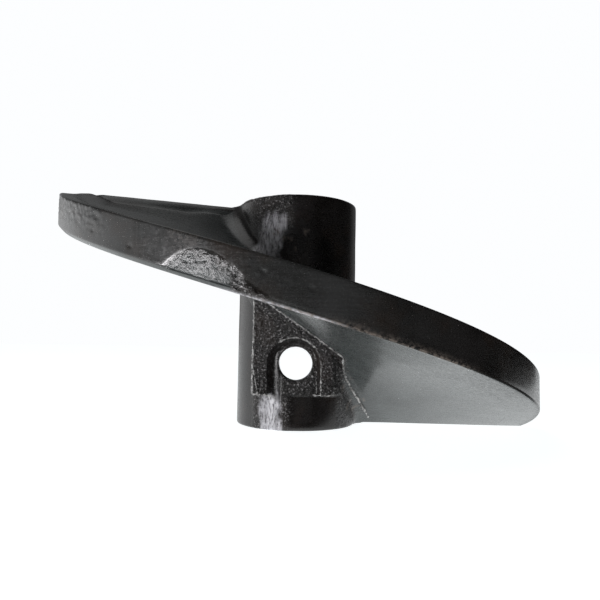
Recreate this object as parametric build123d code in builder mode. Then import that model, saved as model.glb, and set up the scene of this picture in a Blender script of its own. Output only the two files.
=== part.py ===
from build123d import *
import os
from math import cos, radians

# Cast auger flight segment for an asphalt paver: half a turn of left-hand screw flight on a
# half-shell hub that is bolted through the auger shaft.
# Frame: +Z along the shaft axis, -Y towards the bolt head, origin on the shaft axis at the hub's middle.
# Every solid here is one region of a single casting, and neighbours meet face to face.

# Driving dimensions, in millimetres
flight_radius = 200.0      # outside of the screw flight
shaft_radius = 35.0        # saddle of the half shell, for a 70 mm shaft
hub_radius = 51.5          # outside of the half shell
hub_length = 192.0
half_turn_rise = 179.0     # how far the flight climbs in its 180 degrees
flight_middle_z = 7.0      # middle of the flight at the front of the hub, half way round

rim_thickness = 26.0       # measured along the shaft
rim_width = 24.0           # radial depth of the thick outer band
rim_land = 15.0            # flat top of the band, before it slopes down to the web
rim_top_round = 1.2
rim_bottom_bevel = 3.2

web_top_at_rim = 6.5       # heights of the web's faces above the flight's middle
web_top_at_hub = -4.8
web_bottom_at_hub = -11.5
upper_fillet_radius = 20.0
lower_fillet_radius = 14.0
fillet_lip = 0.6           # thickness a fillet keeps where it dies out

border_width = 8.0         # raised border along the upper end of the flight
border_height = 3.0        # above the web at the end face
border_inner_radius = 72.0

bolt_hole_radius = 14.0
bolt_z = -42.5
bolt_seat_y = -49.6        # flat floor that the bolt head sits against
pad_face_y = -56.6
pad_left_x = -33.0
pad_right_x = 31.5
pad_bottom_z = -66.5
pad_round = 2.0
pocket_half_width = 21.0   # the pocket is a U, round over the bolt and open below

# Values worked out from them
rim_inner_radius = flight_radius - rim_width
half_thickness = rim_thickness / 2
low_end_z = flight_middle_z - half_turn_rise / 2   # middle of the flight at its lower end
hub_end_z = hub_length / 2


def web_top(radius):
    """Height of the web's upper face above the flight's middle, at a radius."""
    along = (radius - hub_radius) / (rim_inner_radius - hub_radius)
    return web_top_at_hub + along * (web_top_at_rim - web_top_at_hub)


def web_bottom(radius):
    """Height of the web's lower face above the flight's middle, at a radius."""
    along = (radius - hub_radius) / (rim_inner_radius - hub_radius)
    return web_bottom_at_hub + along * (-half_thickness - web_bottom_at_hub)


def at_low_end(radius, height):
    """A profile point on the XZ plane, where the flight starts at its lower end."""
    return (radius, low_end_z + height)


# The helix climbs half a turn, left-handed, from the +X side round the front to the -X side.
with BuildLine() as flight_path:
    helix = Helix(
        pitch=2 * half_turn_rise,
        height=half_turn_rise,
        radius=flight_radius,
        center=(0, 0, low_end_z),
        lefthand=True,
    )


# Wear rim: the thick outer band of the flight
with BuildPart() as wear_rim:
    with BuildSketch(Plane.XZ):
        with BuildLine():
            Polyline(
                at_low_end(rim_inner_radius, web_bottom(rim_inner_radius)),
                at_low_end(rim_inner_radius, web_top(rim_inner_radius)),
                at_low_end(flight_radius - rim_land, half_thickness),
                at_low_end(flight_radius - rim_top_round, half_thickness),
                at_low_end(flight_radius, half_thickness - rim_top_round),
                at_low_end(flight_radius, rim_bottom_bevel - half_thickness),
                at_low_end(flight_radius - rim_bottom_bevel, -half_thickness),
                close=True,
            )
        make_face()
    sweep(path=flight_path.line, is_frenet=True)
wear_rim.part.label = "wear_rim"


# Flight web: the thinner plate between the hub and the rim
with BuildPart() as flight_web:
    with BuildSketch(Plane.XZ):
        with BuildLine():
            Polyline(
                at_low_end(hub_radius, web_bottom(hub_radius)),
                at_low_end(hub_radius, web_top(hub_radius)),
                at_low_end(rim_inner_radius, web_top(rim_inner_radius)),
                at_low_end(rim_inner_radius, web_bottom(rim_inner_radius)),
                close=True,
            )
        make_face()
    sweep(path=flight_path.line, is_frenet=True)
flight_web.part.label = "flight_web"


# Everything from the web's lower face upwards, used to trim the pieces under the flight
with BuildPart() as space_above_web:
    with BuildSketch(Plane.XZ):
        with BuildLine():
            Polyline(
                at_low_end(hub_radius - 5, web_bottom(hub_radius - 5)),
                at_low_end(hub_radius - 5, hub_length),
                at_low_end(rim_inner_radius, hub_length),
                at_low_end(rim_inner_radius, web_bottom(rim_inner_radius)),
                close=True,
            )
        make_face()
    sweep(path=flight_path.line, is_frenet=True)


# Bolt pad: the raised block round the bolt, with a U pocket that holds the bolt head
with BuildPart() as bolt_pad:
    with BuildSketch(Plane.XZ.offset(shaft_radius)):
        with BuildLine():
            Polyline(
                (pad_left_x, pad_bottom_z),
                (pad_right_x, pad_bottom_z),
                (pad_right_x, flight_middle_z),
                (pad_left_x, 2 * hub_radius),
                close=True,
            )
        make_face()
    extrude(amount=-pad_face_y - shaft_radius)
    pad_front = bolt_pad.faces().sort_by(Axis.Y)[0]
    pad_sides = pad_front.edges().sort_by(Axis.Z)[0:3]
    fillet(pad_sides, radius=pad_round)
    with BuildSketch(Plane.XZ.offset(shaft_radius)):
        with Locations((0, bolt_z)):
            Circle(pocket_half_width)
        with Locations((0, (bolt_z + 2 * pad_bottom_z) / 2)):
            Rectangle(2 * pocket_half_width, abs(2 * pad_bottom_z - bolt_z))
    extrude(amount=-2 * pad_face_y, mode=Mode.SUBTRACT)
    with BuildSketch(Plane.XY.offset(-hub_length)):
        Circle(hub_radius)
    extrude(amount=2 * hub_length, mode=Mode.SUBTRACT)
    add(space_above_web.part, mode=Mode.SUBTRACT)
bolt_pad.part.label = "bolt_pad"


# Hub: half a tube, with the bolt hole and the flat seat of the bolt head
with BuildPart() as hub_half_shell:
    with BuildSketch(Plane.XY.offset(-hub_end_z)):
        Circle(hub_radius)
        Circle(shaft_radius, mode=Mode.SUBTRACT)
        with Locations((0, hub_radius)):
            Rectangle(2 * hub_radius, 2 * hub_radius, mode=Mode.SUBTRACT)
    extrude(amount=hub_length)
    with BuildSketch(Plane.XZ.offset(-bolt_seat_y)):
        with Locations((0, bolt_z)):
            Circle(pocket_half_width)
        with Locations((0, (bolt_z + pad_bottom_z) / 2)):
            Rectangle(2 * pocket_half_width, bolt_z - pad_bottom_z)
    extrude(amount=hub_radius, mode=Mode.SUBTRACT)
    with BuildSketch(Plane.XZ):
        with Locations((0, bolt_z)):
            Circle(bolt_hole_radius)
    extrude(amount=2 * hub_radius, mode=Mode.SUBTRACT)
hub_half_shell.part.label = "hub_half_shell"


# Upper root fillet: the concave blend from the web's upper face to the hub, cut off at the hub's end
with BuildPart() as upper_root_fillet:
    foot_radius = hub_radius + upper_fillet_radius
    foot = at_low_end(foot_radius, web_top(foot_radius) + fillet_lip)
    head = at_low_end(hub_radius + fillet_lip, web_top(hub_radius) + upper_fillet_radius)
    bend = upper_fillet_radius * (1 - cos(radians(45)))
    middle = at_low_end(hub_radius + bend + fillet_lip, web_top(hub_radius) + bend + fillet_lip)
    with BuildSketch(Plane.XZ):
        with BuildLine():
            Line(at_low_end(hub_radius, web_top(hub_radius)), at_low_end(foot_radius, web_top(foot_radius)))
            Line(at_low_end(foot_radius, web_top(foot_radius)), foot)
            ThreePointArc(foot, middle, head)
            Line(head, (hub_radius, head[1]))
            Line((hub_radius, head[1]), at_low_end(hub_radius, web_top(hub_radius)))
        make_face()
    sweep(path=flight_path.line, is_frenet=True)
    with BuildSketch(Plane.XY.offset(hub_end_z)):
        Rectangle(4 * hub_radius, 4 * hub_radius)
    extrude(amount=hub_length, mode=Mode.SUBTRACT)
upper_root_fillet.part.label = "upper_root_fillet"


# Lower root fillet: the same blend under the web, cut off at the hub's end and round the bolt pad
with BuildPart() as lower_root_fillet:
    foot_radius = hub_radius + lower_fillet_radius
    foot = at_low_end(foot_radius, web_bottom(foot_radius) - fillet_lip)
    head = at_low_end(hub_radius + fillet_lip, web_bottom(hub_radius) - lower_fillet_radius)
    bend = lower_fillet_radius * (1 - cos(radians(45)))
    middle = at_low_end(hub_radius + bend + fillet_lip, web_bottom(hub_radius) - bend - fillet_lip)
    with BuildSketch(Plane.XZ):
        with BuildLine():
            Line(at_low_end(hub_radius, web_bottom(hub_radius)), at_low_end(foot_radius, web_bottom(foot_radius)))
            Line(at_low_end(foot_radius, web_bottom(foot_radius)), foot)
            ThreePointArc(foot, middle, head)
            Line(head, (hub_radius, head[1]))
            Line((hub_radius, head[1]), at_low_end(hub_radius, web_bottom(hub_radius)))
        make_face()
    sweep(path=flight_path.line, is_frenet=True)
    with BuildSketch(Plane.XY.offset(-hub_end_z)):
        Rectangle(4 * hub_radius, 4 * hub_radius)
    extrude(amount=-hub_length, mode=Mode.SUBTRACT)
    add(bolt_pad.part, mode=Mode.SUBTRACT)
lower_root_fillet.part.label = "lower_root_fillet"


# End border: the raised strip along the flight's upper end face
high_end_z = low_end_z + half_turn_rise
with BuildPart() as end_border:
    with BuildSketch(Plane.XZ):
        with BuildLine():
            Polyline(
                (-border_inner_radius, high_end_z + web_bottom(border_inner_radius)),
                (-border_inner_radius, high_end_z + web_top(border_inner_radius) + border_height),
                (-rim_inner_radius, high_end_z + web_top(rim_inner_radius) + border_height),
                (-rim_inner_radius, high_end_z + web_bottom(rim_inner_radius)),
                close=True,
            )
        make_face()
    extrude(amount=border_width)
    add(flight_web.part, mode=Mode.SUBTRACT)
    add(wear_rim.part, mode=Mode.SUBTRACT)
    add(upper_root_fillet.part, mode=Mode.SUBTRACT)
end_border.part.label = "end_border"


os.makedirs("parts", exist_ok=True)
for piece in (
    hub_half_shell,
    bolt_pad,
    flight_web,
    wear_rim,
    upper_root_fillet,
    lower_root_fillet,
    end_border,
):
    solids = piece.part.solids()
    volume = sum(solid.volume for solid in solids) / 1000
    print(f"{piece.part.label}: {len(solids)} solid, {volume:.1f} cm3")
    export_step(piece.part, f"parts/{piece.part.label}.step")
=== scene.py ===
# Looks of a cast auger flight segment: half a turn of screw flight on a half-shell hub, painted black.
# Metres, +Z along the shaft, -Y towards the bolt head.
import math

import bpy
import numpy as np
from mathutils import Matrix, Vector, noise


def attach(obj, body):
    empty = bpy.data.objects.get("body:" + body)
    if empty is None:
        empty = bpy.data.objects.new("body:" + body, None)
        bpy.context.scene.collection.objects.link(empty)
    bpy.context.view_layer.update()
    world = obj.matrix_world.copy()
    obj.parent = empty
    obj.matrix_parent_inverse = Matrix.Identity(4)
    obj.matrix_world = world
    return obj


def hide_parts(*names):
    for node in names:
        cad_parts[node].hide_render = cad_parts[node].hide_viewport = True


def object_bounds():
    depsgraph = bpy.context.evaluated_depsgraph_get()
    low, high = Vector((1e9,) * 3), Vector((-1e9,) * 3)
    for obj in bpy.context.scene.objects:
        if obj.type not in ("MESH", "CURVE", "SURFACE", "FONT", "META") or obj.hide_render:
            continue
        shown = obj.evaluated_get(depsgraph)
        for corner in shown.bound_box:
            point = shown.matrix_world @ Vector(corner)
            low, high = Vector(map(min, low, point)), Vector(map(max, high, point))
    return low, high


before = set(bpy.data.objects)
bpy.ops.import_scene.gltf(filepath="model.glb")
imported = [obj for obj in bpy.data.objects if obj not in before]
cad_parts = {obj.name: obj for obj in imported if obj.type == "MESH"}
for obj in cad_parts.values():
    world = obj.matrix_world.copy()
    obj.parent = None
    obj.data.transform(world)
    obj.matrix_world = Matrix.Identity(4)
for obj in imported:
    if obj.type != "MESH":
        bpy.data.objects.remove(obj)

cadBox = [list(corner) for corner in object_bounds()]
mm = 0.001  # shapes are written in mm and stored in metres

# the camera's place, its turn, tilt and roll in radians, its lens in mm, and the nearest thing it sees
camera = dict(
    place=(0.00680, -0.50579, -0.02059), turn=0.0087, tilt=0.0650, roll=0.0170, lens=33.826, nearest=0.01)

# the flight's section and climb, as in the CAD part; heights are from the flight's middle
flight = dict(
    radius=200.0, rise=179.0, middle=7.0, half=13.0, under=13.4, steps=440,
    rimInner=176.0, landFoot=174.0, rimLand=192.0,
    topAtHub=-4.8, topSlope=11.3 / 124.5, bottomAtHub=-12.4, bottomSlope=-1.0 / 124.5,
    recess=3.0, recessAlong=(16, 62), recessIn=(76, 104), recessOut=(164, 176),
    endSink=2.8, sinkAlong=(8, 75), sinkIn=(177, 187),
)
hub = dict(
    outer=51.5, inner=35.0, half=96.0, outerRound=1.6, innerRound=1.0, steps=120, spacing=1.6, voxel=0.95)


def addCamera():
    turn, tilt, roll = camera["turn"], camera["tilt"], camera["roll"]
    across = Vector((math.cos(turn), math.sin(turn), 0))
    level = Vector((-math.sin(turn), math.cos(turn), 0))
    ahead = level * math.cos(tilt) + Vector((0, 0, 1)) * math.sin(tilt)
    above = Vector((0, 0, 1)) * math.cos(tilt) - level * math.sin(tilt)
    side = across * math.cos(roll) + above * math.sin(roll)
    top = above * math.cos(roll) - across * math.sin(roll)
    bpy.ops.object.camera_add()
    eye = bpy.context.object
    eye.name = "viewCamera"
    eye.matrix_world = Matrix.Translation(camera["place"]) @ Matrix((side, top, -ahead)).transposed().to_4x4()
    eye.data.lens = camera["lens"]
    eye.data.clip_start = camera["nearest"]
    bpy.context.scene.camera = eye


# Mesh helpers
def deselect():
    bpy.ops.object.select_all(action="DESELECT")


def activate(piece):
    deselect()
    piece.select_set(True)
    bpy.context.view_layer.objects.active = piece


def rename(piece, name):
    piece.name = name
    piece.data.name = name


def readVectors(piece, label):
    flat = np.empty(len(piece.data.vertices) * 3)
    piece.data.vertices.foreach_get(label, flat)
    return flat.reshape(-1, 3)


def readPoints(piece):
    return readVectors(piece, "co") / mm


def readNormals(piece):
    return readVectors(piece, "normal")


def writePoints(piece, points):
    piece.data.vertices.foreach_set("co", (np.asarray(points) * mm).ravel())
    piece.data.update()


def editWhole(piece, *operations):
    # edit-mode operations on the whole mesh, which then gets its faces turned outwards
    activate(piece)
    bpy.ops.object.mode_set(mode="EDIT")
    for operation in operations:
        bpy.ops.mesh.select_all(action="SELECT")
        operation()
    bpy.ops.mesh.select_all(action="SELECT")
    bpy.ops.mesh.normals_make_consistent(inside=False)
    bpy.ops.object.mode_set(mode="OBJECT")


def extrusion(shift):
    return lambda: bpy.ops.mesh.extrude_region_move(TRANSFORM_OT_translate={"value": shift})


def applyModifier(piece, kind, **settings):
    activate(piece)
    modifier = piece.modifiers.new(kind.lower(), kind)
    for key, value in settings.items():
        setattr(modifier, key, value)
    bpy.ops.object.modifier_apply(modifier=modifier.name)


def cutWith(piece, tool):
    applyModifier(piece, "BOOLEAN", operation="DIFFERENCE", object=tool, solver="EXACT")
    bpy.data.objects.remove(tool)


def remesh(piece, voxel):
    # one even skin, with its edges a little worn
    applyModifier(piece, "REMESH", mode="VOXEL", voxel_size=voxel * mm)
    applyModifier(piece, "SMOOTH", factor=0.5, iterations=3)


def shadeByAngle(piece, degrees):
    activate(piece)
    bpy.ops.object.shade_smooth_by_angle(angle=math.radians(degrees))


def smoothStep(value, low, high):
    t = np.clip((value - low) / (high - low), 0, 1)
    return t * t * (3 - 2 * t)


def bump(value, low, high, soft):
    # 1 between low and high, with soft edges inside them
    return smoothStep(value, low, low + soft) * (1 - smoothStep(value, high - soft, high))


def noiseAt(points, scale, shift=0.0):
    # smooth noise from about -1 to 1; scale is the size of its lumps in mm, one number or one for each axis
    cells = np.asarray(points) / np.asarray(scale) + shift
    return np.array([noise.noise(Vector(cell)) for cell in cells])


# The flight's form: the angle round the shaft, and heights above the flight's middle at a radius
def radiusOf(points):
    return np.hypot(points[:, 0], points[:, 1])


def angleOf(points):
    # 0 at -X, a quarter turn at the front, half a turn at +X
    angle = np.arctan2(-points[:, 1], -points[:, 0])
    return np.where(angle < -1, angle + 2 * math.pi, angle)


def middleAt(angle):
    return flight["middle"] - flight["rise"] * (angle / math.pi - 0.5)


def relativeOf(points):
    return points[:, 2] - middleAt(angleOf(points))


def topHeight(radius):
    web = flight["topAtHub"] + flight["topSlope"] * (radius - hub["outer"])
    land = smoothStep(radius, flight["landFoot"], flight["rimLand"])
    return web + (flight["half"] - web) * land


def bottomHeight(radius):
    web = flight["bottomAtHub"] + flight["bottomSlope"] * (radius - hub["outer"])
    return np.maximum(web, -flight["under"])


def recessAt(radius, distance):
    # the web is sunk a little beside the border at its upper end; distance is along the arc from that end
    along = 1 - smoothStep(distance, *flight["recessAlong"])
    inside = smoothStep(radius, *flight["recessIn"])
    return flight["recess"] * along * inside * (1 - smoothStep(radius, *flight["recessOut"]))


def sinkAt(radius, distance):
    # the rim's top sinks and rounds off towards the upper end
    sink = flight["endSink"] * (1 - smoothStep(distance, *flight["sinkAlong"]))
    return sink * smoothStep(radius, *flight["sinkIn"])


# Sections: outlines of (across, up) points
def roundedOutline(corners, spacing):
    # corners are (across, up, radius); straight runs are divided to the spacing and corners become arcs
    corners = [(np.array(corner[:2], float), corner[2]) for corner in corners]
    outline = []
    for index, (corner, radius) in enumerate(corners):
        before = corners[index - 1][0]
        after = corners[(index + 1) % len(corners)][0]
        inward = (before - corner) / np.linalg.norm(before - corner)
        onward = (after - corner) / np.linalg.norm(after - corner)
        half = math.acos(np.clip(np.dot(inward, onward), -1, 1)) / 2
        if radius < 0.01 or half > 1.55:  # a sharp corner, or hardly a corner at all
            outline.append(corner)
            continue
        reach = radius / math.tan(half)
        bisector = (inward + onward) / np.linalg.norm(inward + onward)
        centre = corner + bisector * radius / math.sin(half)
        start = corner + inward * reach - centre
        sweep = math.pi - 2 * half
        sign = 1 if inward[0] * onward[1] - inward[1] * onward[0] < 0 else -1
        count = max(3, round(sweep * radius / min(spacing, 0.6 * radius)))
        for step in range(count + 1):
            turn = sign * sweep * step / count
            swung = (start[0] * math.cos(turn) - start[1] * math.sin(turn),
                     start[0] * math.sin(turn) + start[1] * math.cos(turn))
            outline.append(centre + np.array(swung))
    divided = []
    for index, point in enumerate(outline):
        after = outline[(index + 1) % len(outline)]
        parts = max(1, round(float(np.linalg.norm(after - point)) / spacing))
        divided += [point + (after - point) * part / parts for part in range(parts)]
    return divided


def addFace(name, points):
    # one filled face through the points
    deselect()
    bpy.ops.mesh.primitive_circle_add(vertices=len(points), fill_type="NGON")
    piece = bpy.context.object
    rename(piece, name)
    writePoints(piece, points)
    return piece


def addOutline(name, outline):
    # a filled outline of (radius, height) points, standing on the -X side of the shaft
    return addFace(name, [(-across, 0, up) for across, up in outline])


def addPrism(name, outline, near, depth):
    # a filled outline that faces the front, at y = near, pushed depth mm along y
    piece = addFace(name, [(across, near, up) for across, up in outline])
    editWhole(piece, extrusion((0, depth * mm, 0)))
    return piece


def spinHalfTurn(piece, steps):
    editWhole(piece, lambda: bpy.ops.mesh.spin(steps=steps, angle=math.pi, center=(0, 0, 0), axis=(0, 0, -1)))


def climb(piece):
    # a flat half ring becomes half a turn of screw
    points = readPoints(piece)
    points[:, 2] += middleAt(angleOf(points))
    writePoints(piece, points)


addCamera()

# Where the casting is rough, wet with pooled paint or worn, and where highlights and shade are painted:
# shares from 0 to 1 at points in mm.
# A pair of numbers is where a share starts and is full; three are its two ends and how soft they are.
parting = dict(height=-9.6, slope=-0.69)  # the mould's joint line, which falls across the front
boreEdge = (44, 48)
coreField = dict(across=(-36, 41, 3), seam=(-2, 2), front=-20)
grit = dict(
    # the pocket's walls and the seat left of the bolt are smoothed: smoother walls, and fewer pale grains
    # there as painted shade in the pocket
    pocketWall=dict(along=(-56.1, -50.1, 0.5), reach=22.6, top=-18),
    pocketShelter=dict(across=(-24, -9, 3), along=(-56.2, -55.2), top=-24),
    smoothed=0.8, footBelow=(66.5, 69.5), footAcross=(-8, 0),
    band=dict(below=(-68, -62), across=(-40, -2, 10), outside=75, share=0.28),
    crown=dict(above=(58, 84), across=(-44, 2, 14), outside=60),
    flank=dict(across=(30, 40), outside=(58, 64), below=(33, 46), front=(4, 16), share=0.5),
    rimEnd=dict(across=(165, 198), outside=(197, 200), share=0.6),
)
puddle = dict(brim=7.0, centre=76.0, halfWidth=5.6, fall=8, soft=4, degrees=(66.5, 83.5, 3), face=196)
# where the smears lie; their gloss is real, and their pale colour is a painted highlight
smearHighlight = dict(
    grain=(4.0, 4.0, 9.0), shift=4.1, ragged=7, footSway=0.6, neckSway=0.5, neckLean=0.25, neckMiddle=62,
    foot=dict(across=(-30, -10, 5), below=(-74, -66), outside=56, top=-60),
    neck=dict(across=(-35, -9, 6), up=(37, 84, 12), outside=75),
)
# heights at the rim's lower edge: the pale line there is a painted highlight, and the worn band is rubbed
# paint
rimEdge = dict(outside=(195.5, 197), pale=(-12.9, -12.0), worn=(-12.6, -11.5))
# painted highlight lines along the rim's lower edge and the left end of its upper edge
highlightLine = dict(lower=(76, 101, 8), upper=(2, 34, 10), outside=(197, 198.6), nearTop=(-2.4, -1.0), share=0.7)
wear = dict(
    scuff=dict(degrees=(97, 104.5, 3), grain=(3.0, 3.0, 1.2), shift=2.2, range=(-0.1, 0.4)),
    edge=dict(degrees=(78, 128, 12), share=0.75),
    patches=dict(grain=(5.0, 5.0, 8.0), shift=2.2, range=(0.15, 0.6)),
    flank=dict(across=(34, 44), outside=(60, 68), up=(-88, -42, 8)),
    brim=dict(outside=(197, 200), degrees=(68, 75.5, 2), up=(-4, 8), share=0.12),
    stain=dict(across=(-44, 14, 12), up=(38, 76, 12), outside=62, share=0.8),
)
# the paint's grey, with painted light and shade: where the flight turns grey, the painted shade in the hollow
# beside the border and near the root, and the darker rim face
shade = dict(
    above=(68, 112), below=(51.9, 54),
    valleyStart=(3, 8), valleyEnd=(22, 60), valleyIn=(122, 155), valleyLow=(-1.5, 1), valleyDepth=0.92,
    face=(198.6, 199.6), faceShare=0.76, rightShare=0.2, right=(20, 110),
)


def partingHeight(across):
    return parting["height"] + parting["slope"] * across


def coreAt(points):
    # the rough field around the bolt, below the parting line
    x, y, z = points.T
    under = 1 - smoothStep(z - partingHeight(x), *coreField["seam"])
    return bump(x, *coreField["across"]) * under * (y < coreField["front"])


def outsideBore(points):
    # the half bore is plain
    return smoothStep(radiusOf(points), *boreEdge)


def gritAt(points, relative):
    x, y, z = points.T
    radius = radiusOf(points)
    wall, shelter, band = grit["pocketWall"], grit["pocketShelter"], grit["band"]
    crown, flank, rimEnd = grit["crown"], grit["flank"], grit["rimEnd"]
    # fewer pale grains in the pocket stand for painted shade there
    walls = bump(y, *wall["along"]) * (np.abs(x) < wall["reach"]) * (z < wall["top"])
    shelter = bump(x, *shelter["across"]) * (z < shelter["top"]) * smoothStep(y, *shelter["along"])
    core = coreAt(points) * (1 - grit["smoothed"] * np.maximum(walls, shelter))
    core = core * (1 - smoothStep(-z, *grit["footBelow"]) * smoothStep(x, *grit["footAcross"]))
    foot = (1 - smoothStep(z, *band["below"])) * bump(x, *band["across"])
    band = foot * (radius < band["outside"]) * band["share"]
    crown = smoothStep(z, *crown["above"]) * bump(x, *crown["across"]) * (radius < crown["outside"])
    beside = smoothStep(x, *flank["across"]) * (1 - smoothStep(radius, *flank["outside"]))
    flank = beside * smoothStep(-z, *flank["below"]) * smoothStep(-y, *flank["front"]) * flank["share"]
    rimEnd = smoothStep(x, *rimEnd["across"]) * smoothStep(radius, *rimEnd["outside"]) * rimEnd["share"]
    return np.clip(np.maximum.reduce([core, band, crown, flank, rimEnd]), 0, 1) * outsideBore(points)


def puddleAt(angle, relative):
    # a sag of pooled paint on the rim's face, left of the middle
    degrees = np.degrees(angle)
    brim = puddle["brim"] - ((degrees - puddle["centre"]) / puddle["halfWidth"]) ** 2 * puddle["fall"]
    return smoothStep(brim - relative, 0, puddle["soft"]) * bump(degrees, *puddle["degrees"])


def wetAt(points, relative):
    pool = puddleAt(angleOf(points), relative) * (radiusOf(points) > puddle["face"])
    return np.maximum(pool, smearAndHighlightAt(points))


def smearAndHighlightAt(points):
    # glossy smears of thick paint on the hub, one at its foot and one on its neck; the gloss is the paint's
    # own, and their pale colour is a painted highlight
    x, y, z = points.T
    radius = radiusOf(points)
    foot, neck = smearHighlight["foot"], smearHighlight["neck"]
    edge = noiseAt(points, smearHighlight["grain"], smearHighlight["shift"]) * smearHighlight["ragged"]
    low = bump(x + edge * smearHighlight["footSway"], *foot["across"]) * (1 - smoothStep(z + edge, *foot["below"]))
    low = low * (radius < foot["outside"]) * (z < foot["top"])
    lean = x + edge * smearHighlight["neckSway"] - smearHighlight["neckLean"] * (z - smearHighlight["neckMiddle"])
    high = bump(lean, *neck["across"]) * bump(z + edge, *neck["up"]) * (radius < neck["outside"])
    return np.clip(np.maximum(low, high), 0, 1) * outsideBore(points)


def lowEdgeAt(radius, relative, heights):
    return smoothStep(radius, *rimEdge["outside"]) * (1 - smoothStep(relative, *heights))


def paintedHighlightAt(points, relative):
    # painted highlights: the pale colour of the smears, and pale lines along the rim's lower edge and the
    # left end of its upper edge
    radius = radiusOf(points)
    degrees = np.degrees(angleOf(points))
    edge = lowEdgeAt(radius, relative, rimEdge["pale"]) * bump(degrees, *highlightLine["lower"])
    crest = flight["half"] - sinkAt(radius, np.radians(degrees) * radius)
    brim = smoothStep(radius, *highlightLine["outside"]) * smoothStep(relative - crest, *highlightLine["nearTop"])
    brim = brim * bump(degrees, *highlightLine["upper"]) * highlightLine["share"]
    return np.maximum.reduce([smearAndHighlightAt(points), edge, brim])


def wornAt(points, relative):
    # scuffs and rubbed paint, along the rim's lower edge and in patches on the hub
    x, y, z = points.T
    radius = radiusOf(points)
    degrees = np.degrees(angleOf(points))
    scuff, edge, patches = wear["scuff"], wear["edge"], wear["patches"]
    flank, brim, stain = wear["flank"], wear["brim"], wear["stain"]
    lowEdge = lowEdgeAt(radius, relative, rimEdge["worn"])
    thin = smoothStep(noiseAt(points, scuff["grain"], scuff["shift"]), *scuff["range"])
    scuff = lowEdge * bump(degrees, *scuff["degrees"]) * thin
    edge = lowEdge * bump(degrees, *edge["degrees"]) * edge["share"]
    patches = smoothStep(noiseAt(points, patches["grain"], patches["shift"]), *patches["range"])
    beside = smoothStep(x, *flank["across"]) * (1 - smoothStep(radius, *flank["outside"]))
    flank = beside * bump(z, *flank["up"])
    face = smoothStep(radius, *brim["outside"]) * bump(degrees, *brim["degrees"])
    brim = face * smoothStep(relative, *brim["up"]) * brim["share"]
    stain = bump(x, *stain["across"]) * bump(z, *stain["up"]) * (radius < stain["outside"]) * stain["share"]
    worn = np.maximum.reduce([scuff, edge, flank * patches, brim, stain * patches])
    return np.clip(worn, 0, 1) * outsideBore(points)


def shadeAt(points, relative):
    # 0 where the paint is near black, on the hub, up to 1 where it is grey, under the flight; the grey is
    # partly painted light that the flight's faces catch, and it is kept dark near the hub's root on the upper
    # side as painted shade
    x = points[:, 0]
    radius = radiusOf(points)
    above = smoothStep(radius, *shade["above"])
    below = smoothStep(radius, *shade["below"]) * (1 - coreAt(points))
    # painted shade: the hollow beside the border is darkened, and so is the rim's outer face, more towards
    # the right
    distance = angleOf(points) * radius
    valley = smoothStep(distance, *shade["valleyStart"]) * (1 - smoothStep(distance, *shade["valleyEnd"]))
    sunken = 1 - smoothStep(relative - topHeight(radius), *shade["valleyLow"])
    valley = valley * smoothStep(radius, *shade["valleyIn"]) * sunken
    flightShade = np.where(relative > 0, above * (1 - shade["valleyDepth"] * valley), below)
    dark = shade["faceShare"] + shade["rightShare"] * smoothStep(x, *shade["right"])
    return flightShade * (1 - smoothStep(radius, *shade["face"]) * dark)


def markFinish(piece):
    # the shares are kept on the mesh, where the materials read them
    points = readPoints(piece)
    relative = relativeOf(points)
    shares = dict(grit=gritAt, wet=wetAt, worn=wornAt, paintedHighlight=paintedHighlightAt, shade=shadeAt)
    for label, share in shares.items():
        layer = piece.data.attributes.new(label, "FLOAT", "POINT")
        layer.data.foreach_set("value", share(points, relative).astype(np.float32))


# sizes and heights in mm of the sand-cast lumps, the casting's long waves and the creases in thick paint
skin = dict(
    fineSize=2.1, fine=0.20, fineShift=9.0, coarseSize=4.6, coarse=0.16, coarseShift=3.0,
    plain=0.05, gritty=1.25,
    waveSize=24.0, wave=0.16, waveShift=1.0,
    creaseSize=(3.2, 3.2, 2.4), creaseShift=6.0, creaseWidth=0.35, crease=0.9,
)


def castSkin(piece):
    # the lumps are pushed into the mesh itself, strongest where the casting is gritty
    points = readPoints(piece)
    normals = readNormals(piece)
    relative = relativeOf(points)
    rough = gritAt(points, relative)
    wet = wetAt(points, relative)
    lumps = noiseAt(points, skin["fineSize"], skin["fineShift"]) * skin["fine"]
    lumps = lumps + noiseAt(points, skin["coarseSize"], skin["coarseShift"]) * skin["coarse"]
    waves = noiseAt(points, skin["waveSize"], skin["waveShift"]) * skin["wave"]
    ridges = skin["creaseWidth"] - np.abs(noiseAt(points, skin["creaseSize"], skin["creaseShift"]))
    creases = ridges * skin["crease"]
    push = lumps * (skin["plain"] + rough * skin["gritty"]) + waves + creases * wet
    writePoints(piece, points + normals * push[:, None])


# Wear rim: its section, then the paint's runs, streaks, pool and pits on its outer face.
# Grains are (along, up, 1) in mm with a shift; degrees run from the upper end; pits are (degrees, up, size).
wearRim = dict(
    bevel=3.2, bevelRound=1.0, topRound=1.2, spacing=1.1, face=(198.6, 199.9),
    bevelZone=(4.5, 4.5), narrowing=0.62, narrowDegrees=(84, 100),
    dimple=0.50, dimpleGrain=(2.9, 2.1, 1), dimpleShift=0.7, dimpleDegrees=(8, 57, 9), dimpleUp=(-8, 5),
    streak=0.42, streakGrain=(1.5, 24.0, 1), streakShift=5.7, streakDegrees=(60.5, 71, 2.5),
    sag=0.08, wrinkle=0.62, wrinkleGrain=(5.5, 1.8, 1), wrinkleShift=8.3, wrinkleWidth=0.25,
    ripple=0.40, rippleGrain=(2.4, 1.15, 1), rippleShift=3.9,
    swell=0.10, swellGrain=(26, 12, 1), swellShift=2.5, inset=0.12,
    pit=0.7, pits=((60.6, -4.5, 1.3), (50.0, -2.0, 0.8), (85.5, 3.0, 0.9), (93.0, 2.0, 0.9)),
    sinkUp=(-2, 11),
)


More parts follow.
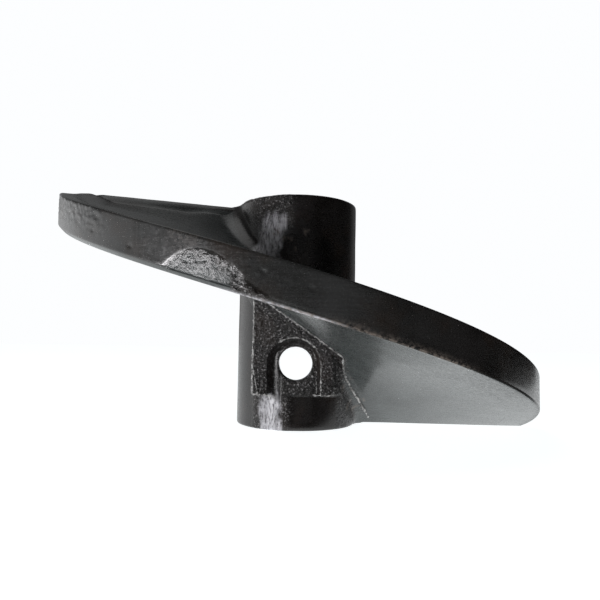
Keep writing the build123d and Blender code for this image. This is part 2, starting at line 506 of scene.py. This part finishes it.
def sculptRim(piece):
    look = wearRim
    points = readPoints(piece)
    radius = radiusOf(points)
    angle = angleOf(points)
    degrees = np.degrees(angle)
    relative = relativeOf(points)
    # the lower bevel narrows towards the right
    outer, under = flight["radius"], flight["under"]
    narrow = 1 - look["narrowing"] * smoothStep(degrees, *look["narrowDegrees"])
    inBevel = (radius > outer - look["bevelZone"][0]) & (relative < look["bevelZone"][1] - under)
    newRadius = np.where(inBevel, outer - (outer - radius) * narrow, radius)
    newRelative = np.where(inBevel, (relative + under) * narrow - under, relative)
    # paint runs, streaks, the pooled sag and a few pits on the outer face
    along = angle * outer
    flat = np.stack([along, relative, 0 * along], axis=1)
    runs = bump(degrees, *look["dimpleDegrees"]) * smoothStep(newRelative, *look["dimpleUp"])
    push = runs * noiseAt(flat, look["dimpleGrain"], look["dimpleShift"]) * look["dimple"]
    streaks = bump(degrees, *look["streakDegrees"])
    push += streaks * noiseAt(flat, look["streakGrain"], look["streakShift"]) * look["streak"]
    pool = puddleAt(angle, newRelative)
    push -= pool * look["sag"] * (puddle["brim"] - newRelative)
    wrinkles = look["wrinkleWidth"] - np.abs(noiseAt(flat, look["wrinkleGrain"], look["wrinkleShift"]))
    push += pool * wrinkles * look["wrinkle"]
    push += pool * noiseAt(flat, look["rippleGrain"], look["rippleShift"]) * look["ripple"]
    for place, height, size in look["pits"]:
        away = np.hypot((degrees - place) * math.pi / 180 * outer, newRelative - height)
        push -= np.exp(-(away / size) ** 2) * look["pit"]
    push += noiseAt(flat, look["swellGrain"], look["swellShift"]) * look["swell"] - look["inset"]
    newRadius = newRadius + push * smoothStep(radius, *look["face"])
    newRelative -= sinkAt(radius, angle * radius) * smoothStep(newRelative, *look["sinkUp"])
    scale = newRadius / radius
    points[:, 0] *= scale
    points[:, 1] *= scale
    points[:, 2] = newRelative + middleAt(angle)
    writePoints(piece, points)


def addWearRim():
    radius, half, under, bevel = flight["radius"], flight["half"], flight["under"], wearRim["bevel"]
    inner = flight["rimInner"]
    top = [(across, float(topHeight(across)), 0) for across in np.linspace(flight["rimLand"], inner, 9)]
    outline = roundedOutline([
        (inner, float(bottomHeight(inner)), 0),
        (radius - bevel, -under, wearRim["bevelRound"]),
        (radius, bevel - under, wearRim["bevelRound"]),
        (radius, half, wearRim["topRound"]),
    ] + top, wearRim["spacing"])
    piece = addOutline("rimCasting", outline)
    spinHalfTurn(piece, flight["steps"])
    climb(piece)
    sculptRim(piece)
    return piece


# Flight web
webPlate = dict(intoHub=0.4, parts=12, spacing=2.0, topShare=(0.3, 1.0))


def addFlightWeb():
    inner, outer = hub["outer"] - webPlate["intoHub"], flight["rimInner"]
    parts = webPlate["parts"]
    low = [(across, float(bottomHeight(across)), 0) for across in np.linspace(inner, outer, parts)]
    high = [(across, float(topHeight(across)), 0) for across in np.linspace(outer, inner, parts)]
    piece = addOutline("webCasting", roundedOutline(low + high, webPlate["spacing"]))
    spinHalfTurn(piece, flight["steps"])
    points = readPoints(piece)
    radius = radiusOf(points)
    low, high = bottomHeight(radius), topHeight(radius)
    nearTop = smoothStep((points[:, 2] - low) / (high - low), *webPlate["topShare"])
    points[:, 2] -= recessAt(radius, radius * angleOf(points)) * nearTop
    writePoints(piece, points)
    climb(piece)
    return piece


# Root fillets: a section of unit size is swung half a turn, then scaled by the fillet's radius at each place.
# The upper one covers the hub's rough skin and fades into it over a long tail.
rootFillet = dict(
    upper=20.0, upperTail=1.2, cover=0.25, coverFade=(0.3, 0.6),
    lower=10.0, lowerTail=0.12, lowerSwell=36.0, swellStart=69.0, swellFade=32.0,
    arcParts=22, steps=300, sunk=0.03, footShare=0.6, longestFoot=0.6, belowEnd=0.15,
)


def upperRadiusAt(angle):
    return rootFillet["upper"] + 0 * angle


def lowerRadiusAt(angle):
    past = (rootFillet["swellStart"] - np.degrees(angle)) / rootFillet["swellFade"]
    return np.clip(rootFillet["lowerSwell"] * np.exp(past), rootFillet["lower"], rootFillet["lowerSwell"])


def addRootFillet(name, radiusAt, rootHeight, slope, direction, tail, cover):
    lean = math.atan(slope * direction)
    arc = [(1 - math.cos(turn), 1 - math.sin(turn))
           for turn in np.linspace(0, math.pi / 2 + lean, rootFillet["arcParts"])]
    # both ends of the arc run on into the wall and the web, so that no step shows
    sunk = -rootFillet["sunk"]
    foot = 1.0 + rootFillet["footShare"] * min(tail, rootFillet["longestFoot"])
    outline = arc + [(across, sunk) for across in np.linspace(foot, 0.1, 10)] + [(sunk, sunk)]
    outline += [(sunk, up) for up in np.linspace(0.1, 1.0 + tail, 12)]
    piece = addOutline(name, [(1 + across, up) for across, up in outline])
    spinHalfTurn(piece, rootFillet["steps"])
    points = readPoints(piece)
    angle = angleOf(points)
    across = radiusOf(points) - 1
    size = radiusAt(angle)
    radius = hub["outer"] + across * size
    height = rootHeight(radius) + direction * points[:, 2] * size
    radius = radius + cover * (1 - smoothStep(across, *rootFillet["coverFade"]))
    limit = hub["half"] - rootFillet["belowEnd"]
    points[:, 0] = -radius * np.cos(angle)
    points[:, 1] = -radius * np.sin(angle)
    points[:, 2] = np.clip(height + middleAt(angle), -limit, limit)
    writePoints(piece, points)
    editWhole(piece)
    return piece


# End border along the flight's upper end
endBorder = dict(
    inner=56.0, outer=189.0, outerFade=12, low=-0.5, slope=0.0852, lowRadius=66.0, flat=2.8, foot=9.5,
    depth=14.0, parts=(96, 26), sink=7.0, setBack=0.8, sunk=0.3, roundOff=0.9, roundDepth=1.6, fall=0.12,
)


def addEndBorder():
    look = endBorder
    deselect()
    bpy.ops.mesh.primitive_grid_add(x_subdivisions=look["parts"][0], y_subdivisions=look["parts"][1], size=1)
    piece = bpy.context.object
    rename(piece, "borderCasting")
    editWhole(piece, extrusion((0, 0, -1)))
    # the unit slab is laid along the end: its x becomes the radius, its y the distance from the end
    points = readPoints(piece) * mm
    isTop = points[:, 2] > -0.5
    radius = look["inner"] + (look["outer"] - look["inner"]) * (points[:, 0] + 0.5)
    distance = (points[:, 1] + 0.5) * look["depth"]
    angle = distance / radius
    web = topHeight(radius) - recessAt(radius, distance) - sinkAt(radius, distance) + middleAt(angle)
    crest = look["low"] + look["slope"] * (radius - look["lowRadius"]) + middleAt(0)
    ends = 1 - smoothStep(radius, look["outer"] - look["outerFade"], look["outer"])
    share = (1 - smoothStep(distance, look["flat"], look["foot"])) * ends
    rounded = look["roundOff"] * (1 - smoothStep(distance, 0, look["roundDepth"]))
    crest = crest - rounded - look["fall"] * distance
    height = web - look["sunk"] + np.maximum(crest - web, 0) * share
    # below the web's top the end stands back a little, inside the web
    angle = angle + np.where(isTop, 0, look["setBack"]) / radius
    points[:, 0] = -radius * np.cos(angle)
    points[:, 1] = -radius * np.sin(angle)
    points[:, 2] = np.where(isTop, height, web - look["sink"])
    writePoints(piece, points)
    editWhole(piece)
    return piece


# Bolt pad and its pocket: a U, round over the bolt and open below
boltPad = dict(
    left=-33.6, right=30.2, foot=-66.5, topLeft=24.0, topRight=-28.0, face=-56.6, back=-38.0,
    seat=-49.6, boltZ=-42.5, boltRadius=13.7, boltDepth=90,
    pocketHalf=18.0, pocketMiddle=-0.9, pocketFoot=-90.0, pocketDepth=14, draft=0.5,
    behind=-30.0, behindDepth=22, voxel=0.75, cornerRound=2.5, spacing=3.0,
    flare=3.0, sideShare=0.6,
)


def pocketOutline():
    width, bolt, foot = boltPad["pocketHalf"], boltPad["boltZ"], boltPad["pocketFoot"]
    arch = [(width * math.cos(turn), bolt + width * math.sin(turn)) for turn in np.linspace(0, math.pi, 40)]
    return arch + [(-width, foot), (width, foot)]


def addPocketTool():
    # the pocket in front of the bolt's seat; its sides spread towards the pad's face
    tool = addPrism("pocketTool", pocketOutline(), boltPad["seat"], -boltPad["pocketDepth"])
    bolt = boltPad["boltZ"]
    points = readPoints(tool)
    spread = (boltPad["seat"] - points[:, 1]) * boltPad["draft"]
    above = points[:, 2] > bolt + 0.01
    fromBolt = np.stack([points[:, 0], points[:, 2] - bolt], axis=1)
    grow = 1 + spread / np.linalg.norm(fromBolt, axis=1)
    points[:, 0] = np.where(above, points[:, 0] * grow, points[:, 0] + np.sign(points[:, 0]) * spread)
    points[:, 2] = np.where(above, bolt + fromBolt[:, 1] * grow, points[:, 2])
    points[:, 0] += boltPad["pocketMiddle"]
    writePoints(tool, points)
    return tool


def addBackTool():
    # clears the pad behind the seat, where the hub's own wall is
    outline = [(across + boltPad["pocketMiddle"], up) for across, up in pocketOutline()]
    return addPrism("backTool", outline, boltPad["behind"], -boltPad["behindDepth"])


def addBoltTool():
    depth = boltPad["boltDepth"]
    deselect()
    bpy.ops.mesh.primitive_cylinder_add(
        vertices=96, radius=boltPad["boltRadius"] * mm, depth=depth * mm,
        location=(0, -depth / 2 * mm, boltPad["boltZ"] * mm), rotation=(math.pi / 2, 0, 0))
    tool = bpy.context.object
    bpy.ops.object.transform_apply(location=True, rotation=True, scale=True)
    return tool


def flareFoot(piece):
    # the pad's sides run out onto the hub in a small concave round
    flare = boltPad["flare"]
    points = readPoints(piece)
    height = radiusOf(points) - hub["outer"]
    depth = np.clip(flare - height, 0, flare)
    reach = flare - np.sqrt(flare ** 2 - depth ** 2)
    sideways = readNormals(piece) * np.array([1, 0, 1])
    share = np.clip(np.linalg.norm(sideways, axis=1), 0, 1)
    writePoints(piece, points + sideways * (reach * (share > boltPad["sideShare"]))[:, None])


def addBoltPad():
    corners = [
        (boltPad["left"], boltPad["foot"], boltPad["cornerRound"]),
        (boltPad["right"], boltPad["foot"], boltPad["cornerRound"]),
        (boltPad["right"], boltPad["topRight"], 0), (boltPad["left"], boltPad["topLeft"], 0)]
    outline = roundedOutline(corners, boltPad["spacing"])
    piece = addPrism("padCasting", outline, boltPad["face"], boltPad["back"] - boltPad["face"])
    cutWith(piece, addPocketTool())
    cutWith(piece, addBackTool())
    remesh(piece, boltPad["voxel"])
    flareFoot(piece)
    return piece


# Hub
def addHub():
    half, outerRound, innerRound = hub["half"], hub["outerRound"], hub["innerRound"]
    outline = roundedOutline([
        (hub["inner"], -half, innerRound), (hub["outer"], -half, outerRound),
        (hub["outer"], half, outerRound), (hub["inner"], half, innerRound)], hub["spacing"])
    piece = addOutline("hubCasting", outline)
    spinHalfTurn(piece, hub["steps"])
    cutWith(piece, addPocketTool())
    cutWith(piece, addBoltTool())
    remesh(piece, hub["voxel"])
    return piece


# Flash: the thin ragged fins that the mould's joint lines left, and fins along the pocket's edges that carry
# painted highlight lines
flash = dict(
    resolution=14, ragged=0.75, raggedSize=1.9, raggedShift=4.0, wander=0.45, wanderSize=5.0, wanderShift=1.0,
    brimHalf=21.4, brimDepth=-56.2, seatHalf=18.3, seatDepth=-49.9,
    archDegrees=128, sideHeights=(-66, -58, -50),
    padEdge=[(-33.8, -56.0, 34), (-33.7, -56.2, 8), (-33.5, -56.4, -20), (-34.0, -56.2, -48),
             (-34.0, -56.2, -66)],
    padFoot=[(-34.0, -56.0, -66.0), (-29.5, -56.5, -67.2), (-24.0, -56.3, -66.4), (-19.0, -55.8, -67.6)],
    split=[(-33.6, -56.4, -46), (-32.0, -56.8, -52), (-31.4, -56.8, -57), (-29.6, -56.8, -66)],
    rightFoot=[(14.5, -51.0, -67.0), (22.0, -54.4, -67.2), (27.0, -55.2, -67.0), (31.0, -54.6, -66.4)],
    parting=[(-33.5, -56.4, 13.5), (-27.5, -57.0, 9.3), (-21.4, -59.2, 5.2), (-11.7, -58.8, -1.6),
             (0.4, -59.0, -9.6), (12.5, -59.3, -18.1), (18.5, -60.9, -22.4), (24.5, -63.3, -26.8),
             (31.0, -64.5, -31.3), (37.3, -63.6, -36.0)],
    root=[(37.3, -63.4, -36.2), (38.0, -57.0, -39.3), (38.6, -51.0, -42.7), (39.2, -44.0, -47.6),
          (41.2, -38.6, -53.5), (47.8, -29.4, -64.7), (56.2, -20.2, -77.0), (64.4, -5.0, -90.0)],
)
finThickness = dict(
    padEdge=0.75, padFoot=0.6, split=0.5, rightFoot=0.55, parting=0.85, root=0.95,
    pocketBrim=0.5, pocketSeat=0.42)


def pocketRoute(halfWidth, depth):
    # up the pocket's right side and over its arch; the pale fins here stand for painted highlight lines along
    # the pocket's edges
    middle, bolt = boltPad["pocketMiddle"], boltPad["boltZ"]
    turns = np.linspace(0, math.radians(flash["archDegrees"]), 8)
    side = [(middle + halfWidth, depth, up) for up in flash["sideHeights"]]
    arch = [(middle + halfWidth * math.cos(turn), depth, bolt + halfWidth * math.sin(turn)) for turn in turns]
    return side + arch


def addFin(route, thickness):
    deselect()
    bpy.ops.curve.primitive_nurbs_path_add()
    fin = bpy.context.object
    fin.data.splines.remove(fin.data.splines[0])
    line = fin.data.splines.new("NURBS")
    line.points.add(len(route) - 1)
    for point, place in zip(line.points, route):
        point.co = (*[value * mm for value in place], 1)
    line.order_u = 3
    line.use_endpoint_u = True
    line.resolution_u = flash["resolution"]
    fin.data.bevel_depth = thickness * mm
    fin.data.bevel_resolution = 2
    fin.data.use_fill_caps = True
    bpy.ops.object.convert(target="MESH")
    return bpy.context.object


def addFlash():
    pocketRoutes = dict(
        pocketBrim=pocketRoute(flash["brimHalf"], flash["brimDepth"]),
        pocketSeat=pocketRoute(flash["seatHalf"], flash["seatDepth"]))
    fins = [addFin((flash | pocketRoutes)[label], thickness) for label, thickness in finThickness.items()]
    deselect()
    for fin in fins:
        fin.select_set(True)
    bpy.context.view_layer.objects.active = fins[0]
    bpy.ops.object.join()
    piece = bpy.context.object
    rename(piece, "flashFins")
    editWhole(piece, lambda: bpy.ops.mesh.remove_doubles(threshold=0.02 * mm),
              lambda: bpy.ops.mesh.subdivide(number_cuts=1))
    points = readPoints(piece)
    ragged = noiseAt(points, flash["raggedSize"], flash["raggedShift"]) * flash["ragged"]
    ragged = ragged + noiseAt(points, flash["wanderSize"], flash["wanderShift"]) * flash["wander"]
    writePoints(piece, points + readNormals(piece) * ragged[:, None])
    return piece


# Paint over cast iron; two tones are the dark and the light end of a mottle
hubTones = ((0.0060, 0.0047, 0.0042), (0.0150, 0.0128, 0.0125))
# the flight's grey is partly painted light
flightTones = ((0.026, 0.029, 0.029), (0.070, 0.078, 0.077))
# the light end of the flash's tone is partly bare worn ridges and partly painted highlight along the fins
flashWearAndHighlight = ((0.075, 0.072, 0.070), (0.52, 0.51, 0.50))
rust = (0.105, 0.062, 0.040)
bareIron = (0.24, 0.22, 0.20)
# painted highlight colour, used on the smears and along the rim's edges
highlightColour = (0.54, 0.53, 0.56)
# pale grains: partly dust on the casting, partly painted glints of the glossy paint on its grains
dustAndGlint = (0.30, 0.29, 0.29)
paints = dict(
    hubPaint=dict(rough=0.28, coat=0.10),
    flightPaint=dict(rough=0.27, coat=0.15),
    rimPaint=dict(rough=0.25, coat=0.10),
    flashPaint=dict(rough=0.30, coat=0.10),
)
gloss = dict(ior=1.55, coatRough=0.12, duller=0.07, shinier=0.05, streaky=0.03, wet=0.72)
relief = dict(height=0.0022, plain=0.02, wet=0.3, grainShare=0.5)
# noises as (scale, detail, roughness), a scale of three numbers being one for each axis; scales are per metre
noises = dict(
    grain=(600, 2, 0.55), sand=(420, 4, 0.62), cloud=(38, 4, 0.55), stain=(42, 3, 0.5),
    streak=((60, 260, 900), 4, 0.55), drip=((620, 620, 170), 5, 0.65),
)
streakTurn = (0.0, 0.25, 0.35)
# each range maps a noise or a share from the first two numbers to the last two
ranges = dict(
    mottle=(0.35, 0.65, 0, 1), streak=(0.3, 0.7, 0, 0.5), fleck=(0.42, 0.58, 0, 1),
    brown=(0.50, 0.70, 0, 0.6), brownOnGrey=(0, 1, 1, 0.15), grain=(0.59, 0.65, 0, 0.7),
    smearHighlight=(0.34, 0.56, 0.15, 1.0), worn=(0.42, 0.60, 0, 1),
)
brownDepth = 0.2  # how much of the rust's colour shows through the paint


def addNoise(tree, place, label):
    scale, detail, roughness = noises[label]
    if isinstance(scale, tuple):
        stretch = tree.nodes.new("ShaderNodeMapping")
        stretch.inputs["Scale"].default_value = scale
        if label == "streak":
            stretch.inputs["Rotation"].default_value = streakTurn
        tree.links.new(place, stretch.inputs["Vector"])
        place, scale = stretch.outputs["Vector"], 1.0
    node = tree.nodes.new("ShaderNodeTexNoise")
    node.inputs["Scale"].default_value = scale
    node.inputs["Detail"].default_value = detail
    node.inputs["Roughness"].default_value = roughness
    tree.links.new(place, node.inputs["Vector"])
    return node.outputs["Fac"]


def addRange(tree, source, low, high, toLow, toHigh):
    node = tree.nodes.new("ShaderNodeMapRange")
    for name, value in (("From Min", low), ("From Max", high), ("To Min", toLow), ("To Max", toHigh)):
        node.inputs[name].default_value = value
    tree.links.new(source, node.inputs["Value"])
    return node.outputs["Result"]


def addMath(tree, operation, first, second):
    node = tree.nodes.new("ShaderNodeMath")
    node.operation = operation
    for socket, value in zip(node.inputs, (first, second)):
        if isinstance(value, (int, float)):
            socket.default_value = value
        else:
            tree.links.new(value, socket)
    return node.outputs["Value"]


def addMix(tree, share, first, second):
    # a node group's colour mix: socket 0 is the share, 6 and 7 the colours, and output 2 the result
    node = tree.nodes.new("ShaderNodeMix")
    node.data_type = "RGBA"
    tree.links.new(share, node.inputs[0])
    for socket, value in ((node.inputs[6], first), (node.inputs[7], second)):
        if isinstance(value, tuple):
            socket.default_value = (*value, 1)
        else:
            tree.links.new(value, socket)
    return node.outputs[2]


def addShare(tree, label):
    node = tree.nodes.new("ShaderNodeAttribute")
    node.attribute_name = label
    return node.outputs["Fac"]


def makePaint(name):
    look = paints[name]
    material = bpy.data.materials.new(name)
    material.use_nodes = True
    tree = material.node_tree
    shader = tree.nodes["Principled BSDF"]
    place = tree.nodes.new("ShaderNodeTexCoord").outputs["Object"]
    gritty, wet, worn = addShare(tree, "grit"), addShare(tree, "wet"), addShare(tree, "worn")
    paintedHighlight, grey = addShare(tree, "paintedHighlight"), addShare(tree, "shade")
    grain, sand, cloud, stain, streak, drip = [addNoise(tree, place, label) for label in noises]

    # the tone: black to grey paint, the grey partly painted light and darkened by painted shade in the
    # hollows and on the rim's face; then brown stains, pale grains that are partly dust and partly painted
    # glints, painted highlights on the smears and edges, and worn spots
    # the flash fins' pale flecks are partly worn ridges and partly painted highlight
    if name == "flashPaint":
        tone = addMix(tree, addRange(tree, sand, *ranges["fleck"]), *flashWearAndHighlight)
    else:
        mottle = addRange(tree, cloud, *ranges["mottle"])
        halfMottle = addMath(tree, "MULTIPLY", mottle, 0.5)
        streaked = addMath(tree, "ADD", halfMottle, addRange(tree, streak, *ranges["streak"]))
        tone = addMix(tree, grey, addMix(tree, mottle, *hubTones), addMix(tree, streaked, *flightTones))
    onBlack = addRange(tree, grey, *ranges["brownOnGrey"])
    brown = addMath(tree, "MULTIPLY", addRange(tree, stain, *ranges["brown"]), onBlack)
    tone = addMix(tree, brown, tone, tuple(brownDepth * value for value in rust))
    # pale grains on the gritty casting, partly dust and partly painted glints
    grains = addMath(tree, "MULTIPLY", gritty, addRange(tree, grain, *ranges["grain"]))
    tone = addMix(tree, grains, tone, dustAndGlint)
    # painted highlights, on the smears and along the rim's edges
    paintedHighlights = addMath(tree, "MULTIPLY", paintedHighlight, addRange(tree, drip, *ranges["smearHighlight"]))
    tone = addMix(tree, paintedHighlights, tone, highlightColour)
    wornSpots = addMath(tree, "MULTIPLY", worn, addRange(tree, sand, *ranges["worn"]))
    tone = addMix(tree, wornSpots, tone, tuple(0.5 * (a + b) for a, b in zip(rust, bareIron)))
    tree.links.new(tone, shader.inputs["Base Color"])

    # the gloss: a little uneven, and shinier where the paint is thick
    rough = addRange(tree, sand, 0.3, 0.7, look["rough"] - gloss["shinier"], look["rough"] + gloss["duller"])
    rough = addMath(tree, "ADD", rough, addRange(tree, streak, 0.3, 0.7, -gloss["streaky"], gloss["streaky"]))
    rough = addMath(tree, "MULTIPLY", rough, addRange(tree, wet, 0, 1, 1, gloss["wet"]))
    tree.links.new(rough, shader.inputs["Roughness"])
    shader.inputs["IOR"].default_value = gloss["ior"]
    shader.inputs["Coat Weight"].default_value = look["coat"]
    shader.inputs["Coat Roughness"].default_value = gloss["coatRough"]

    # the sand's fine relief, on top of the lumps in the mesh
    height = addMath(tree, "ADD", addMath(tree, "MULTIPLY", grain, relief["grainShare"]), sand)
    onGrit = addRange(tree, gritty, 0, 1, relief["plain"], 1.0)
    strength = addMath(tree, "MAXIMUM", onGrit, addMath(tree, "MULTIPLY", wet, relief["wet"]))
    bumps = tree.nodes.new("ShaderNodeBump")
    bumps.inputs["Distance"].default_value = relief["height"]
    bumps.inputs["Strength"].default_value = 1.0
    tree.links.new(addMath(tree, "MULTIPLY", height, strength), bumps.inputs["Height"])
    tree.links.new(bumps.outputs["Normal"], shader.inputs["Normal"])
    return material


def finishPiece(piece, paint, nodes, smoothAngle):
    # the sand-cast lumps stay inside the CAD part's own box
    low, high = np.array(cadBox) / mm
    writePoints(piece, np.clip(readPoints(piece), low + 0.01, high - 0.01))
    markFinish(piece)
    shadeByAngle(piece, smoothAngle)
    piece.data.materials.clear()
    piece.data.materials.append(bpy.data.materials[paint])
    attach(piece, "root")
    if nodes:
        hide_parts(*nodes)
    print(f"{piece.name}: {len(piece.data.polygons)} faces")


for paintName in paints:
    makePaint(paintName)

rim = addWearRim()
finishPiece(rim, "rimPaint", ["wear_rim"], 32)
web = addFlightWeb()
castSkin(web)
finishPiece(web, "flightPaint", ["flight_web"], 32)
upper = addRootFillet(
    "upperFilletCasting", upperRadiusAt, topHeight, flight["topSlope"], 1,
    rootFillet["upperTail"], rootFillet["cover"])
castSkin(upper)
finishPiece(upper, "flightPaint", ["upper_root_fillet"], 40)
lower = addRootFillet(
    "lowerFilletCasting", lowerRadiusAt, bottomHeight, flight["bottomSlope"], -1, rootFillet["lowerTail"], 0)
castSkin(lower)
finishPiece(lower, "flightPaint", ["lower_root_fillet"], 40)
border = addEndBorder()
castSkin(border)
finishPiece(border, "rimPaint", ["end_border"], 40)
pad = addBoltPad()
castSkin(pad)
finishPiece(pad, "hubPaint", ["bolt_pad"], 60)
hubPiece = addHub()
castSkin(hubPiece)
finishPiece(hubPiece, "hubPaint", ["hub_half_shell"], 60)
fins = addFlash()
finishPiece(fins, "flashPaint", [], 60)


# Studio, in metres: a white floor and backdrop, and dark cards that only reflections see, which keep the
# white out of the paint's right, front and back. A flag is its place, width, depth, and turns about x and z.
studio = dict(
    floor=-0.0968, floorSize=6.0, floorTone=0.85, floorRough=0.9, floorColour=(0.96, 0.99, 1.0),
    floorGlow=0.95, flagTone=0.004, dim=0.03, window=1.1, windowSide=(-0.95, 0.3, 0.1), windowEdge=(0.6, 1.0),
    windowTop=(0.16, 0.38), aboveWindow=0.05, back=0.14, backEdge=(0.3, 0.9), white=(0.98, 0.99, 1.0),
)
upright = math.pi / 2
flags = dict(
    flagRight=((0.62, -0.34, 0.3), 1.52, 0.8, upright, upright),
    flagFront=((0.28, -0.63, studio["floor"] + 0.001), 0.68, 1.14, 0, 0),
    flagBack=((0.24, 1.0, 0.25), 0.42, 0.9, upright, 0),
    flagLeft=((-0.40, 1.0, 0.30), 0.40, 0.36, upright, 0),
)
lamps = dict(
    lowWindow=dict(
        place=(-0.66, -0.74, -0.05), target=(0, 0, -0.04), size=(0.34, 0.10), power=4.0,
        colour=(1.0, 0.98, 1.0)),
    softTop=dict(
        place=(-0.5, -0.1, 1.3), target=(0, 0, 0), size=(0.9, 0.9), power=2.3, colour=(1.0, 1.0, 1.0)),
)


def addPlane(name, place, width, depth, lean, turn, finish):
    deselect()
    bpy.ops.mesh.primitive_plane_add(size=1, location=place, rotation=(lean, 0, turn))
    plane = bpy.context.object
    rename(plane, name)
    plane.scale = (width, depth, 1)
    bpy.ops.object.transform_apply(location=True, rotation=True, scale=True)
    material = bpy.data.materials.new(name + finish)
    material.use_nodes = True
    plane.data.materials.append(material)
    return plane, material.node_tree.nodes["Principled BSDF"]


def addFloor():
    size = studio["floorSize"]
    floor, shader = addPlane("floor", (0, 0, studio["floor"]), size, size, 0, 0, "White")
    shader.inputs["Base Color"].default_value = (*[studio["floorTone"]] * 3, 1)
    shader.inputs["Roughness"].default_value = studio["floorRough"]
    shader.inputs["Emission Color"].default_value = (*studio["floorColour"], 1)
    shader.inputs["Emission Strength"].default_value = studio["floorGlow"]


def addFlag(name, place, width, depth, lean, turn):
    flag, shader = addPlane(name, place, width, depth, lean, turn, "Black")
    shader.inputs["Base Color"].default_value = (*[studio["flagTone"]] * 3, 1)
    shader.inputs["Roughness"].default_value = 1.0
    shader.inputs["Specular IOR Level"].default_value = 0.0
    flag.visible_camera = False
    flag.visible_diffuse = False
    flag.visible_shadow = False


def addLamp(name, place, target, size, power, colour):
    deselect()
    bpy.ops.object.light_add(type="AREA", location=place)
    lamp = bpy.context.object
    lamp.name = name
    lamp.data.shape = "RECTANGLE"
    lamp.data.size, lamp.data.size_y = size
    lamp.data.energy = power
    lamp.data.color = colour
    lamp.rotation_mode = "QUATERNION"
    lamp.rotation_quaternion = (Vector(target) - Vector(place)).to_track_quat("-Z", "Y")


def addWorld():
    # white behind the object, a bright side to the left and a dim room in front, to the right and above
    world = bpy.data.worlds.new("studioWorld")
    bpy.context.scene.world = world
    world.use_nodes = True
    tree = world.node_tree
    sky = tree.nodes["Background"]
    direction = tree.nodes.new("ShaderNodeTexCoord").outputs["Generated"]
    facing = tree.nodes.new("ShaderNodeVectorMath")
    facing.operation = "DOT_PRODUCT"
    facing.inputs[1].default_value = studio["windowSide"]
    tree.links.new(direction, facing.inputs[0])
    axes = tree.nodes.new("ShaderNodeSeparateXYZ")
    tree.links.new(direction, axes.inputs[0])
    dim = studio["dim"]
    window = addRange(tree, facing.outputs["Value"], *studio["windowEdge"], 0, studio["window"])
    lowOnly = addRange(tree, axes.outputs["Z"], *studio["windowTop"], 1, studio["aboveWindow"])
    back = addRange(tree, axes.outputs["Y"], *studio["backEdge"], dim, dim + studio["back"])
    sight = tree.nodes.new("ShaderNodeLightPath").outputs["Is Camera Ray"]
    room = addMath(tree, "ADD", addMath(tree, "MULTIPLY", window, lowOnly), back)
    tree.links.new(addMath(tree, "MAXIMUM", room, sight), sky.inputs["Strength"])
    sky.inputs["Color"].default_value = (*studio["white"], 1)


addFloor()
addWorld()
for flagName, flag in flags.items():
    addFlag(flagName, *flag)
for lampName, lamp in lamps.items():
    addLamp(lampName, **lamp)
bpy.context.scene.view_settings.view_transform = "Standard"
print(f"studio: {len(flags)} flags, {len(lamps)} lamps")
